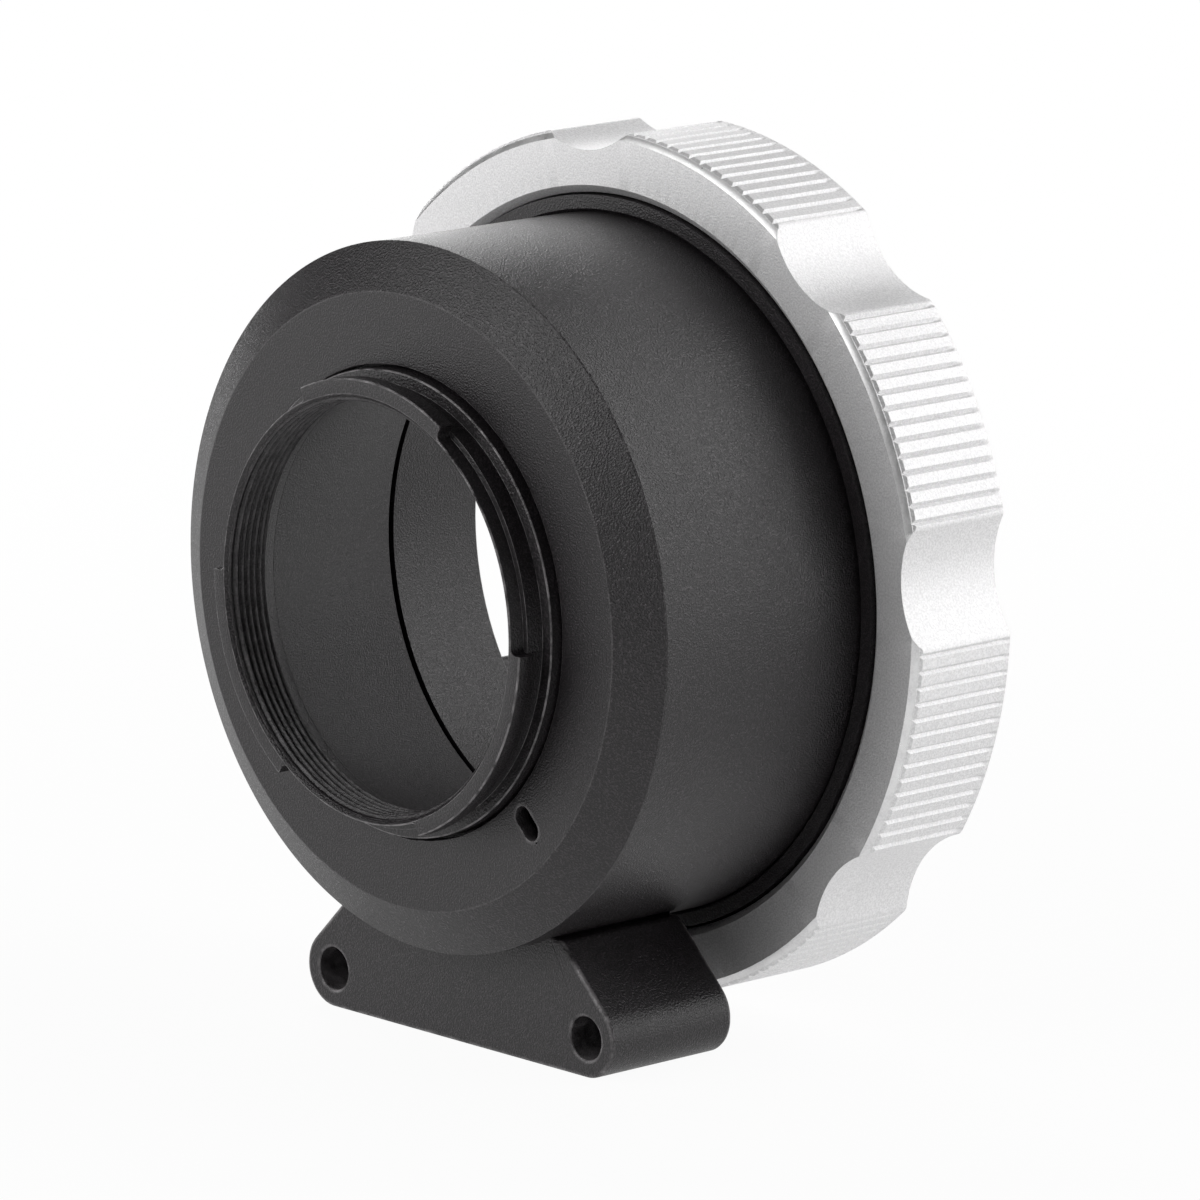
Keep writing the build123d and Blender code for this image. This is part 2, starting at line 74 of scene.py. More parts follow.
def angle(name, description, degrees):
    """An angle that shows in the sidebar in degrees."""
    return FloatProperty(name=name, description=description, default=math.radians(degrees), unit="ROTATION")


def colour(name, description, default):
    """A linear colour that shows in the sidebar."""
    return FloatVectorProperty(name=name, description=description, default=default, size=3,
                               subtype="COLOR", min=0.0, max=1.0)


def share(name, description, default):
    """A plain number between 0 and 1."""
    return FloatProperty(name=name, description=description, default=default, min=0.0, max=1.0)


class BayonetSizes(bpy.types.PropertyGroup):
    reach: length("Lug reach", "How far the lugs stand in front of the flange face", 0.00474)
    thickness: length("Lug thickness", "Length of the lugs along the axis", 0.00172)
    lug: length("Lug radius", "Outside of the three lugs", 0.02253)
    neck: length("Neck radius", "Neck behind the lugs", 0.02176)
    collar: length("Collar radius", "Round locating collar", 0.0230)
    collar_height: length("Collar height", "How far the collar stands proud of the flange face", 0.00106)
    mouth: length("Mouth radius", "Bore under the thread", 0.02066)
    mouth_depth: length("Mouth depth", "Length of the threaded mouth", 0.00511)
    pitch: length("Thread pitch", "Pitch of the light-trapping thread", 0.00075)
    crest: length("Thread height", "Height of its ridges", 0.00034)
    thread_start: length("Thread start", "Plain land between the front face and the thread", 0.0004)
    fillet: length("Lug fillet", "Hollow rounding where a lug's end meets the gap floor", 0.0006)
    flange: length("Flange radius", "Flange hidden behind the cover", 0.0285)
    boss: length("Boss radius", "Boss that centres the bayonet in the barrel", 0.0243)
    boss_back: length("Boss back", "Station of the boss's rear face", 0.0046)
    lip: length("Front edge", "Edge break where the mouth begins", 0.00035)
    edge: length("Edge", "Edge break of lugs and collar", 0.00012)
    gap: length("Gap radius", "Floor of the gaps between the lugs", 0.02119)


# Start and end of each lug, in degrees from +X towards +Z
LUG_SPANS = ((60.0, 114.0), (178.3, 234.6), (290.2, 357.0))


class CoverSizes(bpy.types.PropertyGroup):
    hole: length("Hole radius", "Hole round the collar", 0.0233)
    face: length("Face radius", "Edge of the flat flange face", 0.03038)
    rim: length("Rim radius", "Outer edge of the bevel", 0.03506)
    thickness: length("Thickness", "Thickness of the cover", 0.00283)
    inner_thickness: length("Inner thickness", "Thickness over the bayonet's flange", 0.0016)
    recess: length("Recess radius", "Recess for the bayonet's flange", 0.0286)
    hole_edge: length("Hole edge", "Edge break of the hole", 0.0001)
    rim_wall: length("Rim wall", "Straight wall behind the bevel", 0.00012)
    slot_radius: length("Slot radius", "Distance of the locking-pin slot from the axis", 0.0262)
    slot_length: length("Slot length", "Overall length of the slot", 0.0037)
    slot_width: length("Slot width", "Width of the slot", 0.0021)
    slot_angle: angle("Slot angle", "Where the slot lies round the axis", -46.0)
    slot_edge: length("Slot edge", "Edge break of the slot", 0.00008)


class BarrelSizes(bpy.types.PropertyGroup):
    radius: length("Barrel radius", "Outside of the tube", 0.035)
    bore: length("Rear bore", "Bore that takes the seat's sleeve", 0.0301)
    cavity: length("Cavity radius", "Inside of the tube", 0.032)
    web_hole: length("Web hole", "Hole in the front web", 0.0244)
    web_back: length("Web back", "Station of the web's rear face", 0.0050)
    shoulder: length("Shoulder", "Station where the tube ends and the journal begins", 0.0284)
    journal: length("Journal radius", "Journal that the locking ring turns on", 0.0336)
    back: length("Back", "Station of the barrel's rear face", 0.0319)
    step: length("Step", "Station of the step inside", 0.02035)
    edge: length("Front edge", "Edge break under the cover, across", 0.00008)
    edge_length: length("Front edge length", "The same, along the axis", 0.00012)


class SeatSizes(bpy.types.PropertyGroup):
    throat: length("Throat radius", "Throat for the lens", 0.027)
    sleeve: length("Sleeve radius", "Outside of the sleeve", 0.030)
    seam: length("Seam", "Station where the sleeve begins", 0.0226)
    liner_gap: length("Liner gap", "Dark seam between liner and sleeve", 0.00085)
    liner_front: length("Liner front", "Station of the liner's front edge", 0.0017)
    liner_wall: length("Liner wall", "Wall of the liner", 0.0015)
    lip_end: length("Lip end", "Where the liner's front lip ends", 0.0047)
    rim: length("Liner rim", "Length of the liner's rear rim", 0.002)
    fit: length("Fit", "Clearance round the liner's lip", 0.0001)


class RingSizes(bpy.types.PropertyGroup):
    front: length("Front", "Station of the silver face", 0.02778)
    back: length("Back", "Station of the rear face", 0.04036)
    bore: length("Bore", "Bore round the black annulus", 0.0369)
    mouth: length("Mouth", "Radius of the chamfered opening", 0.03765)
    mouth_height: length("Mouth height", "Length of that chamfer", 0.00067)
    face: length("Face radius", "Outer edge of the flat face", 0.04243)
    edge: length("Edge radius", "Outer end of the bright chamfer", 0.04305)
    edge_height: length("Edge height", "Length of the bright chamfer", 0.00045)
    step: length("Step", "Short ledge behind the chamfer", 0.0001)
    land: length("Land radius", "Outside of the ribbed lands", 0.0433)
    seat: length("Seat radius", "Bore round the inner ring", 0.03965)
    seat_front: length("Seat front", "Station where that bore begins", 0.0308)
    scallop: length("Scallop radius", "Radius of a finger scallop", 0.0105)
    scallop_depth: length("Scallop depth", "Depth of a scallop below the lands", 0.00217)
    scallop_corner: length("Scallop corner", "Rounding where a scallop meets the land", 0.0004)
    scallop_angle: angle("Scallop angle", "Where the first scallop lies", 5.0)
    scallops: IntProperty(name="Scallops", description="Finger scallops round the ring", default=8)
    ribs: IntProperty(name="Grooves", description="Grooves between two scallops", default=14)
    rib_pitch: angle("Groove pitch", "Angle from groove to groove", 360 / 168)
    rib_depth: length("Groove depth", "Depth of the right-angled grooves", 0.0003)
    groove_end: length("Groove end", "Where the grooves begin to run out", 0.0009)
    rear_edge: length("Rear edge", "Edge break of the rear face", 0.00008)
    seat_edge: length("Seat edge", "Edge break of the rear bore", 0.0003)


class FootSizes(bpy.types.PropertyGroup):
    front: length("Front", "Station of the front face", 0.00707)
    back: length("Back", "Station of the rear face", 0.0228)
    drop: length("Drop", "Height below the barrel", 0.0102)
    wrap: length("Wrap", "How far the shoulders wrap up the barrel", 0.0028)
    hole: length("Hole radius", "Radius of the two long holes", 0.00215)
    spacing: length("Hole spacing", "Distance between the holes", 0.03746)
    corner: length("Corner radius", "Rounding of the lower corners", 0.00393)
    shoulder: length("Shoulder radius", "Rounding at the top of the slope", 0.0010)
    edge: length("Edge", "Edge break of the faces", 0.0003)
    lip: length("Hole edge", "Edge break of the two holes", 0.00025)


class Finishes(bpy.types.PropertyGroup):
    black: colour("Black", "Blasted and anodised black", (0.0152, 0.0129, 0.0144))
    # Black edge: painted highlight, a pale colour standing in for light caught by the black edge breaks
    black_edge_highlight: colour("Black edge", "Lighter tone on its edges", (0.42, 0.40, 0.41))
    matt: colour("Matt black", "Light-trapping black inside", (0.0120, 0.0102, 0.0114))
    silver: colour("Silver", "Blasted and clear anodised aluminium", (0.86, 0.855, 0.86))
    steel: colour("Steel", "Turned steel", (0.55, 0.55, 0.56))
    screw: colour("Screw black", "Blackened screws", (0.03, 0.03, 0.031))
    plastic: colour("Plastic", "Low-friction washer", (0.7, 0.7, 0.68))
    black_roughness: share("Black roughness", "Roughness of the black finish", 0.345)
    silver_roughness: share("Silver roughness", "Roughness of the silver finish", 0.57)
    matt_roughness: share("Matt roughness", "Roughness of the liner's black", 0.40)
    grain: length("Grain", "Size of the blasted grain", 0.00019)


class StudioSettings(bpy.types.PropertyGroup):
    azimuth: angle("Azimuth", "Camera round the object, from its front", 47.679)
    elevation: angle("Elevation", "Camera above the horizon", 11.891)
    roll: angle("Roll", "Camera roll", -0.113)
    distance: length("Distance", "Camera from the object's middle", 0.8776)
    right: length("Right", "Camera offset to the right", -0.001204)
    up: length("Up", "Camera offset upwards", -0.003619)
    middle: length("Middle", "Station that the camera looks at", 0.02778)
    focal: FloatProperty(name="Focal length", description="Camera lens in millimetres", default=265.98)
    target: length("Lamp target", "Station that the lamps point at", 0.018)
    lamp_size: length("Lamp size", "Side of a square lamp", 0.36)
    lamp_distance: length("Lamp distance", "Distance of the lamps", 0.70)
    world: FloatProperty(name="World", description="Strength of the even studio light", default=0.0)
    floor_size: length("Floor", "Side of the square floor", 24.0)


def rounded(corners, breaks, steps=3, closed=True):
    """Each corner of a polyline becomes a parabola: it starts and ends one break's length from the corner,
    never past 45 percent of a side, and the corner is its middle control point."""
    corners = np.asarray(corners, float)
    breaks = np.asarray(breaks, float)
    before = np.roll(corners, 1, axis=-2) - corners
    after = np.roll(corners, -1, axis=-2) - corners
    before_length = np.linalg.norm(before, axis=-1)
    after_length = np.linalg.norm(after, axis=-1)
    shorter = np.minimum(before_length, after_length)
    cut = np.minimum(np.broadcast_to(breaks, before_length.shape), 0.45 * shorter)
    if not closed:
        cut = cut.copy()
        cut[..., 0] = 0.0
        cut[..., -1] = 0.0
    safe_before = np.maximum(before_length, 1e-12)
    safe_after = np.maximum(after_length, 1e-12)
    start = corners + before * (cut / safe_before)[..., None]
    end = corners + after * (cut / safe_after)[..., None]
    t = np.linspace(0.0, 1.0, steps + 1)[:, None]
    bend = ((1 - t) ** 2 * start[..., None, :] + 2 * t * (1 - t) * corners[..., None, :]
            + t ** 2 * end[..., None, :])
    edge = np.broadcast_to((4 * t * (1 - t))[..., 0], bend.shape[:-1])
    edge = edge * (cut[..., None] > 1e-9)
    shape = bend.shape[:-3] + (bend.shape[-3] * bend.shape[-2],)
    bend, edge = bend.reshape(shape + (2,)), edge.reshape(shape)
    return (bend, edge) if closed else (bend[..., steps:-steps, :], edge[..., steps:-steps])


def spun(profile, angles):
    """Points (radius times cos angle, station, radius times sin angle): a (radius, station) profile, the same
    or its own at each angle, carried round the axis."""
    profile = np.broadcast_to(profile, (len(angles),) + profile.shape[-2:])
    radius, station = profile[..., 0], profile[..., 1]
    turn = np.asarray(angles)[:, None]
    return np.stack([radius * np.cos(turn), station, radius * np.sin(turn)], axis=-1)


def at_angles(radius, angles):
    """Points in a plane at those distances and angles from its origin."""
    return np.stack([radius * np.cos(angles), radius * np.sin(angles)], axis=-1)


def grid_faces(rows, columns, wrap_rows=True, wrap_columns=True, start=0):
    """Four-cornered faces of a grid of points, closed on itself in either direction."""
    i = np.arange(rows if wrap_rows else rows - 1)
    j = np.arange(columns if wrap_columns else columns - 1)
    i, j = np.meshgrid(i, j, indexing="ij")
    i2, j2 = (i + 1) % rows, (j + 1) % columns
    faces = np.stack([i * columns + j, i * columns + j2, i2 * columns + j2, i2 * columns + j], axis=-1)
    return faces.reshape(-1, 4) + start


def outwards(points, faces):
    """The faces, turned over if the volume that they enclose comes out negative."""
    a, b, c, d = (points[faces[:, k]] for k in range(4))
    volume = (np.einsum("ij,ij->i", a, np.cross(b, c)) + np.einsum("ij,ij->i", a, np.cross(c, d))).sum()
    return faces[:, ::-1] if volume < 0 else faces


def piece(name, points, faces, edge, body, finish, nodes=()):
    """A smooth mesh with its edge tones as an attribute, riding on a body and standing for CAD nodes."""
    mesh = bpy.data.meshes.new(name)
    mesh.vertices.add(len(points))
    mesh.vertices.foreach_set("co", np.asarray(points, np.float32).ravel())
    faces = np.asarray(faces, np.int32)
    mesh.loops.add(faces.size)
    mesh.loops.foreach_set("vertex_index", faces.ravel())
    mesh.polygons.add(len(faces))
    mesh.polygons.foreach_set("loop_start", np.arange(len(faces), dtype=np.int32) * 4)
    mesh.update(calc_edges=True)
    mesh.validate()
    mesh.shade_smooth()
    tone = mesh.attributes.new("edge", "FLOAT", "POINT")
    tone.data.foreach_set("value", np.asarray(edge, np.float32).ravel())
    mesh.materials.append(bpy.data.materials[finish])
    obj = bpy.data.objects.new(name, mesh)
    bpy.context.scene.collection.objects.link(obj)
    weighted = obj.modifiers.new("flat faces stay flat", "WEIGHTED_NORMAL")
    weighted.mode = "FACE_AREA"
    weighted.weight = 100
    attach(obj, body)
    if nodes:
        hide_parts(*nodes)
    return obj


def spun_piece(name, profile, angles, edge, body, finish, nodes=()):
    """A piece from a closed (radius, station) profile, the same or its own at each angle."""
    points = spun(profile, angles).reshape(-1, 3)
    faces = outwards(points, grid_faces(len(angles), profile.shape[-2]))
    return piece(name, points, faces, edge, body, finish, nodes)


def turned(name, corners, edge_break, body, finish, nodes, edge_highlight_level):
    """A closed (radius, station) profile with broken edges, spun round the axis. The edge highlight level is
    how strong the painted highlight and the smoother gloss on its edges are."""
    count = 512
    profile, edge = rounded(corners, np.full(len(corners), edge_break))
    angles = np.arange(count) * 2 * math.pi / count
    # edge tones: painted highlight on the edge breaks
    tones = np.broadcast_to(edge * edge_highlight_level, (count, len(edge)))
    return spun_piece(name, profile, angles, tones, body, finish, nodes)


class Value:
    """A number socket, with arithmetic that adds Math nodes."""

    def __init__(self, finish, socket):
        self.finish = finish
        self.socket = socket

    def _math(self, operation, first, second):
        node = self.finish.node("ShaderNodeMath", {"operation": operation}, {0: first, 1: second})
        return Value(self.finish, node.outputs[0])

    def __add__(self, other):
        return self._math("ADD", self, other)

    __radd__ = __add__

    def __sub__(self, other):
        return self._math("SUBTRACT", self, other)

    def __rsub__(self, other):
        return self._math("SUBTRACT", other, self)

    def __mul__(self, other):
        return self._math("MULTIPLY", self, other)

    __rmul__ = __mul__

    def __pow__(self, other):
        return self._math("POWER", self, other)

    def above(self, low, high):
        """0 under low, 1 over high, smooth between."""
        node = self.finish.node("ShaderNodeMapRange", {"interpolation_type": "SMOOTHSTEP"},
                                {"Value": self, "From Min": low, "From Max": high})
        return Value(self.finish, node.outputs["Result"])


class Finish:
    """One material: its nodes are made by one method and read Object coordinates."""

    def __init__(self, name):
        self.material = bpy.data.materials.new(name)
        self.material.use_nodes = True
        self.tree = self.material.node_tree
        self.shader = self.tree.nodes["Principled BSDF"]
        self.place = self.node("ShaderNodeTexCoord").outputs["Object"]

    def node(self, kind, settings=None, inputs=None):
        """A node of that type: settings first, then values or links of its sockets."""
        node = self.tree.nodes.new(kind)
        for key, value in (settings or {}).items():
            setattr(node, key, value)
        for key, value in (inputs or {}).items():
            self.feed(node.inputs[key], value)
        return node

    def feed(self, socket, value):
        """Links a value to a socket, or sets the socket to it."""
        if isinstance(value, Value):
            value = value.socket
        if isinstance(value, bpy.types.NodeSocket):
            self.tree.links.new(value, socket)
        else:
            socket.default_value = value

    def noise(self, size, detail=2.0, rough=0.55):
        """Noise of about that size in metres, from 0 to 1."""
        node = self.node("ShaderNodeTexNoise", {}, {"Vector": self.place, "Scale": 1.0 / size,
                                                    "Detail": detail, "Roughness": rough})
        return Value(self, node.outputs["Fac"])

    def attribute(self, name):
        """A value stored on the mesh."""
        return Value(self, self.node("ShaderNodeAttribute", {"attribute_name": name}).outputs["Fac"])

    def mix(self, mask, first, second):
        """Colour from first to second as the mask goes from 0 to 1."""
        factor, a, b, result = 0, 6, 7, 2
        node = self.node("ShaderNodeMix", {"data_type": "RGBA"}, {factor: mask, a: first, b: second})
        return node.outputs[result]

    def set(self, **inputs):
        """Sets or links sockets of the shader, with spaces as underscores."""
        for key, value in inputs.items():
            self.feed(self.shader.inputs[key.replace("_", " ")], value)

    def bump(self, height, distance, strength=1.0):
        """Bump of a height map, its depth in metres."""
        node = self.node("ShaderNodeBump", {}, {"Strength": strength, "Distance": distance, "Height": height})
        self.set(Normal=node.outputs["Normal"])


def tone(colour_value, factor):
    """An opaque colour, made lighter or darker."""
    return tuple(min(1.0, c * factor) for c in colour_value) + (1.0,)


def blasted_black(settings, name="blasted_black", roughness=None, dark=None):
    """Bead-blasted black anodise: fine grain in tone, gloss and height, its bright specks partly painted
    sparkle, faint clouds, and a painted highlight on the edge breaks.
    """
    base = dark or settings.black
    rough = roughness or settings.black_roughness
    f = Finish(name)
    grain = f.noise(settings.grain, 1.0, 0.5)
    clouds = f.noise(0.012, 3.0)
    # painted highlight: the edge tone, broken up by noise, mixes the black towards the pale edge colour and
    # lowers the roughness
    edge_highlight = f.attribute("edge") * f.noise(0.0016, 3.0).above(0.25, 0.75)
    # bright specks: random grain tone, partly painted sparkle standing in for glints off the blasted grain
    grain_and_sparkle = grain.above(0.50, 0.70)
    body = f.mix(grain_and_sparkle * 0.85 + clouds * 0.15, tone(base, 0.5), tone(base, 3.8))
    f.set(Base_Color=f.mix(edge_highlight * 0.8, body, tuple(settings.black_edge_highlight) + (1.0,)),
          Roughness=rough - (grain_and_sparkle - 0.3) * 0.12 + (clouds - 0.5) * 0.08 - edge_highlight * 0.10,
          Metallic=0.0)
    f.bump(grain, settings.grain * 0.45, 1.0)
    return f.material


def blasted_silver(settings):
    """Bead-blasted clear anodised aluminium: fine grain, faint clouds, a painted highlight on the edge
    breaks, and a smoother turned band where the edge tone is about 2."""
    f = Finish("blasted_silver")
    grain = f.noise(settings.grain * 1.1, 2.0, 0.6)
    clouds = f.noise(0.010, 3.0)
    edge_highlight = f.attribute("edge") * f.noise(0.0016, 3.0).above(0.2, 0.8)
    turned_band = f.attribute("edge").above(1.2, 1.8)
    body = f.mix(grain.above(0.28, 0.74) * 0.8 + clouds * 0.2,
                 tone(settings.silver, 0.86), tone(settings.silver, 1.12))
    # painted highlight: the edge tone, broken up by noise, mixes the silver towards near white
    f.set(Base_Color=f.mix(edge_highlight * 0.5, body, (0.93, 0.93, 0.93, 1.0)),
          Roughness=(settings.silver_roughness + (grain - 0.5) * 0.14 + (clouds - 0.5) * 0.06 - edge_highlight * 0.08
                     - turned_band * 0.14),
          Metallic=0.75)
    f.bump(grain * (1.0 - turned_band), settings.grain * 0.25, 0.8)
    return f.material


def turned_steel(settings):
    """Turned steel: fine rings round the axis and a little smear in the gloss."""
    f = Finish("turned_steel")
    grain = f.noise(0.00035, 3.0)
    smear = f.noise(0.004, 3.0)
    f.set(Base_Color=f.mix(grain * 0.6 + smear * 0.4, tone(settings.steel, 0.82), tone(settings.steel, 1.15)),
          Roughness=0.30 + (grain - 0.5) * 0.12 + (smear - 0.5) * 0.12,
          Metallic=1.0)
    f.bump(grain, 0.00002, 0.3)
    return f.material


def dark_screw(settings):
    """Blackened steel screws with an oily, slightly uneven gloss."""
    f = Finish("dark_screw")
    smear = f.noise(0.0008, 3.0)
    f.set(Base_Color=f.mix(smear, tone(settings.screw, 0.7), tone(settings.screw, 1.6)),
          Roughness=0.36 + (smear - 0.5) * 0.2, Metallic=0.6)
    f.bump(smear, 0.00002, 0.3)
    return f.material


def slip_plastic(settings):
    """Pale plastic of the drag washer."""
    f = Finish("slip_plastic")
    smear = f.noise(0.0012, 3.0)
    f.set(Base_Color=f.mix(smear, tone(settings.plastic, 0.9), tone(settings.plastic, 1.05)),
          Roughness=0.5 + (smear - 0.5) * 0.1, Metallic=0.0)
    f.bump(smear, 0.00002, 0.2)
    return f.material


# Finishes and the CAD nodes that carry them
NODE_FINISHES = {
    "blasted_black": ["camera_bayonet", "front_cover", "barrel", "lens_seat", "lock_ring", "support_foot"],
    "matt_black": ["inner_liner"],
    "blasted_silver": ["grip_ring"],
    "turned_steel": ["seat_shim", "seat_screws", "index_pin", "foot_bush"],
    "dark_screw": ["mount_screws", "stop_screw", "grip_screws", "foot_screws"],
    "slip_plastic": ["drag_washer"],
}


class ADAPTER_OT_finishes(bpy.types.Operator):
    """Makes the finishes and gives each CAD node its own"""
    bl_idname = "adapter.finishes"
    bl_label = "Finishes"

    def execute(self, context):
        settings = context.scene.adapter_finishes
        blasted_black(settings)
        blasted_black(settings, "matt_black", settings.matt_roughness, tuple(settings.matt))
        blasted_silver(settings)
        turned_steel(settings)
        dark_screw(settings)
        slip_plastic(settings)
        for finish, nodes in NODE_FINISHES.items():
            for node in nodes:
                mesh_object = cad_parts[node]
                mesh_object.data.materials.clear()
                mesh_object.data.materials.append(bpy.data.materials[finish])
        return {"FINISHED"}


class ADAPTER_OT_grip_ring(bpy.types.Operator):
    """Silver locking ring with finger scallops and right-angled grooves"""
    bl_idname = "adapter.grip_ring"
    bl_label = "Grip ring"

    def execute(self, context):
        s = context.scene.adapter_ring
        angles, limit, smooth_limit = grip_outline(s)
        corners = grip_profile(s, limit, smooth_limit)
        breaks = MILLIMETRE * np.array([0.04, 0.02, 0.04, 0.02, 0.03, 0.05, 0.03,
                                        0.03, 0.12, 0.1, 0.1, 0.05, 0.05, 0.05])
        profile, edge = rounded(corners, breaks, 2)
        # the bright chamfer lies between the second and the third corner; its edge tone of 2 gives it a
        # smoother turned band and a painted highlight
        edge = edge.copy()
        edge[:, 5:7] = 2.0
        spun_piece("grip_ring_skin", profile, angles, edge, "locking_ring",
                   "blasted_silver", ["grip_ring"])
        return {"FINISHED"}


def grip_outline(s):
    """Angles round the ring and the greatest radius at each: the lands, less the scallops' circles, less
    right-angled grooves whose depth falls off with the distance from the groove's middle."""
    pitch = 2 * math.pi / s.scallops
    centre = s.land - s.scallop_depth + s.scallop
    half = math.acos((centre ** 2 + s.land ** 2 - s.scallop ** 2) / (2 * centre * s.land))
    # places across a groove, counted in groove depths from its middle
    side = np.array([0.06, 0.5, 0.93, 0.985, 1.0, 1.02, 1.1])
    across = np.concatenate([-side, side]) * s.rib_depth / s.land
    middles = (np.arange(s.ribs) - (s.ribs - 1) / 2) * s.rib_pitch
    grooves = (middles[:, None] + across[None]).ravel()
    corner = s.scallop_corner / s.land
    dish = np.concatenate([
        np.linspace(-half, half, 49),
        half + np.linspace(-1.6, 1.6, 13) * corner,
        -half + np.linspace(-1.6, 1.6, 13) * corner])
    one = np.concatenate([pitch / 2 + grooves, dish % pitch])
    one = np.unique(np.round(one, 7))
    closest = 2e-5
    one = one[np.concatenate([[True], np.diff(one) > closest])]
    angles = s.scallop_angle + (np.arange(s.scallops)[:, None] * pitch + one[None]).ravel()

    local = (one + pitch / 2) % pitch - pitch / 2
    wave = centre * np.cos(local) - np.sqrt(np.maximum(s.scallop ** 2 - (centre * np.sin(local)) ** 2, 0.0))
    dished = np.where(np.abs(local) < half, wave, s.land)
    # the corner is rounded: over its width the limit is a parabola that leaves the land level and ends
    # with the dish's slope
    past = (np.abs(local) - half) * s.land
    dish_slope = 0.75
    reach = s.scallop_corner
    corner_drop = np.where(np.abs(past) < reach, dish_slope * (reach - past) ** 2 / (4 * reach), 0.0)
    blended = np.minimum(dished, s.land - corner_drop)
    offset = one - pitch / 2
    shift = 0.5 * ((s.ribs - 1) % 2)
    nearest = np.clip(np.round(offset / s.rib_pitch - shift), -(s.ribs // 2), s.ribs // 2 - 1)
    middle = (nearest + shift) * s.rib_pitch
    gap = np.abs(offset - middle) * s.land
    flat_floor = 0.94
    depth = np.clip(s.rib_depth - gap, 0.0, s.rib_depth * flat_floor)
    return angles, np.tile(blended - depth, s.scallops), np.tile(blended, s.scallops)


def grip_profile(s, limit, smooth_limit):
    """Corners of the ring's section at each angle: the turned section, cut off at the greatest radius
    there. Corners that lie past the cut gather on the line where the cut leaves the front surface. The
    grooves end just before the rear edge, where only the scallops' limit holds."""
    slope = s.edge_height / (s.edge - s.face)
    hair = 0.01 * MILLIMETRE
    rise = s.front + s.edge_height + s.step
    face_end = np.minimum(s.face, limit)
    edge_end = np.minimum(s.edge, limit)
    edge_station = s.front + np.clip(edge_end - s.face, 0.0, None) * slope
    land_end = np.minimum(s.land, limit)
    ledge = np.where(limit > s.edge, rise, edge_station + hair)
    land_station = np.where(limit > s.edge, rise + (land_end - s.edge), edge_station + 2 * hair)
    ones = np.ones(len(limit))
    rows = [
        (s.mouth * ones, s.front * ones),
        (face_end, s.front * ones),
        (edge_end, edge_station),
        (edge_end, ledge),
        (land_end, land_station),
        (land_end, (s.back - s.groove_end) * ones),
        (smooth_limit, (s.back - s.rear_edge) * ones),
        (smooth_limit - s.rear_edge, s.back * ones),
        ((s.seat + s.seat_edge) * ones, s.back * ones),
        (s.seat * ones, (s.back - s.seat_edge) * ones),
        (s.seat * ones, s.seat_front * ones),
        (s.bore * ones, s.seat_front * ones),
        (s.bore * ones, (s.front + s.mouth_height) * ones),
        (0.5 * (s.bore + s.mouth) * ones, (s.front + 0.5 * s.mouth_height) * ones),
    ]
    return np.stack([np.stack(row, axis=-1) for row in rows], axis=1)


class ADAPTER_OT_barrel(bpy.types.Operator):
    """Black barrel: tube, front web, rear bore and journal"""
    bl_idname = "adapter.barrel"
    bl_label = "Barrel"

    def execute(self, context):
        s = context.scene.adapter_barrel
        front = context.scene.adapter_cover.thickness
        corners = [(s.web_hole, front), (s.radius - s.edge, front), (s.radius, front + s.edge_length),
                   (s.radius, s.shoulder), (s.journal, s.shoulder), (s.journal, s.back), (s.bore, s.back),
                   (s.bore, s.step), (s.cavity, s.step), (s.cavity, s.web_back), (s.web_hole, s.web_back)]
        # the barrel's edge breaks get a painted highlight at 0.3 of full strength
        turned("barrel_skin", corners, SHARP, "adapter_body", "blasted_black", ["barrel"],
               edge_highlight_level=0.3)
        return {"FINISHED"}


def light_cone(mouth, seat, station):
    """Radius of the light path, which widens in a straight line from the mouth to the seam."""
    mouth_end = mouth.mouth_depth - mouth.reach
    return mouth.mouth + (seat.throat - mouth.mouth) * (station - mouth_end) / (seat.seam - mouth_end)


class ADAPTER_OT_liner(bpy.types.Operator):
    """Matt liner between the mouth and the seat's sleeve"""
    bl_idname = "adapter.liner"
    bl_label = "Liner"

    def execute(self, context):
        seat = context.scene.adapter_seat
        mouth = context.scene.adapter_bayonet
        back = seat.seam - seat.liner_gap
        rim = back - seat.rim
        inside = {station: light_cone(mouth, seat, station)
                  for station in (seat.liner_front, seat.lip_end, rim, back)}
        lip = inside[seat.liner_front] + seat.liner_wall
        corners = [(inside[seat.liner_front], seat.liner_front), (lip, seat.liner_front),
                   (lip, seat.lip_end), (inside[seat.lip_end] + seat.liner_wall, seat.lip_end),
                   (inside[rim] + seat.liner_wall, rim), (seat.sleeve, rim), (seat.sleeve, back),
                   (inside[back], back)]
        turned("inner_liner_skin", corners, 1.2 * SHARP, "adapter_body", "matt_black",
               ["inner_liner"], edge_highlight_level=0.0)
        return {"FINISHED"}


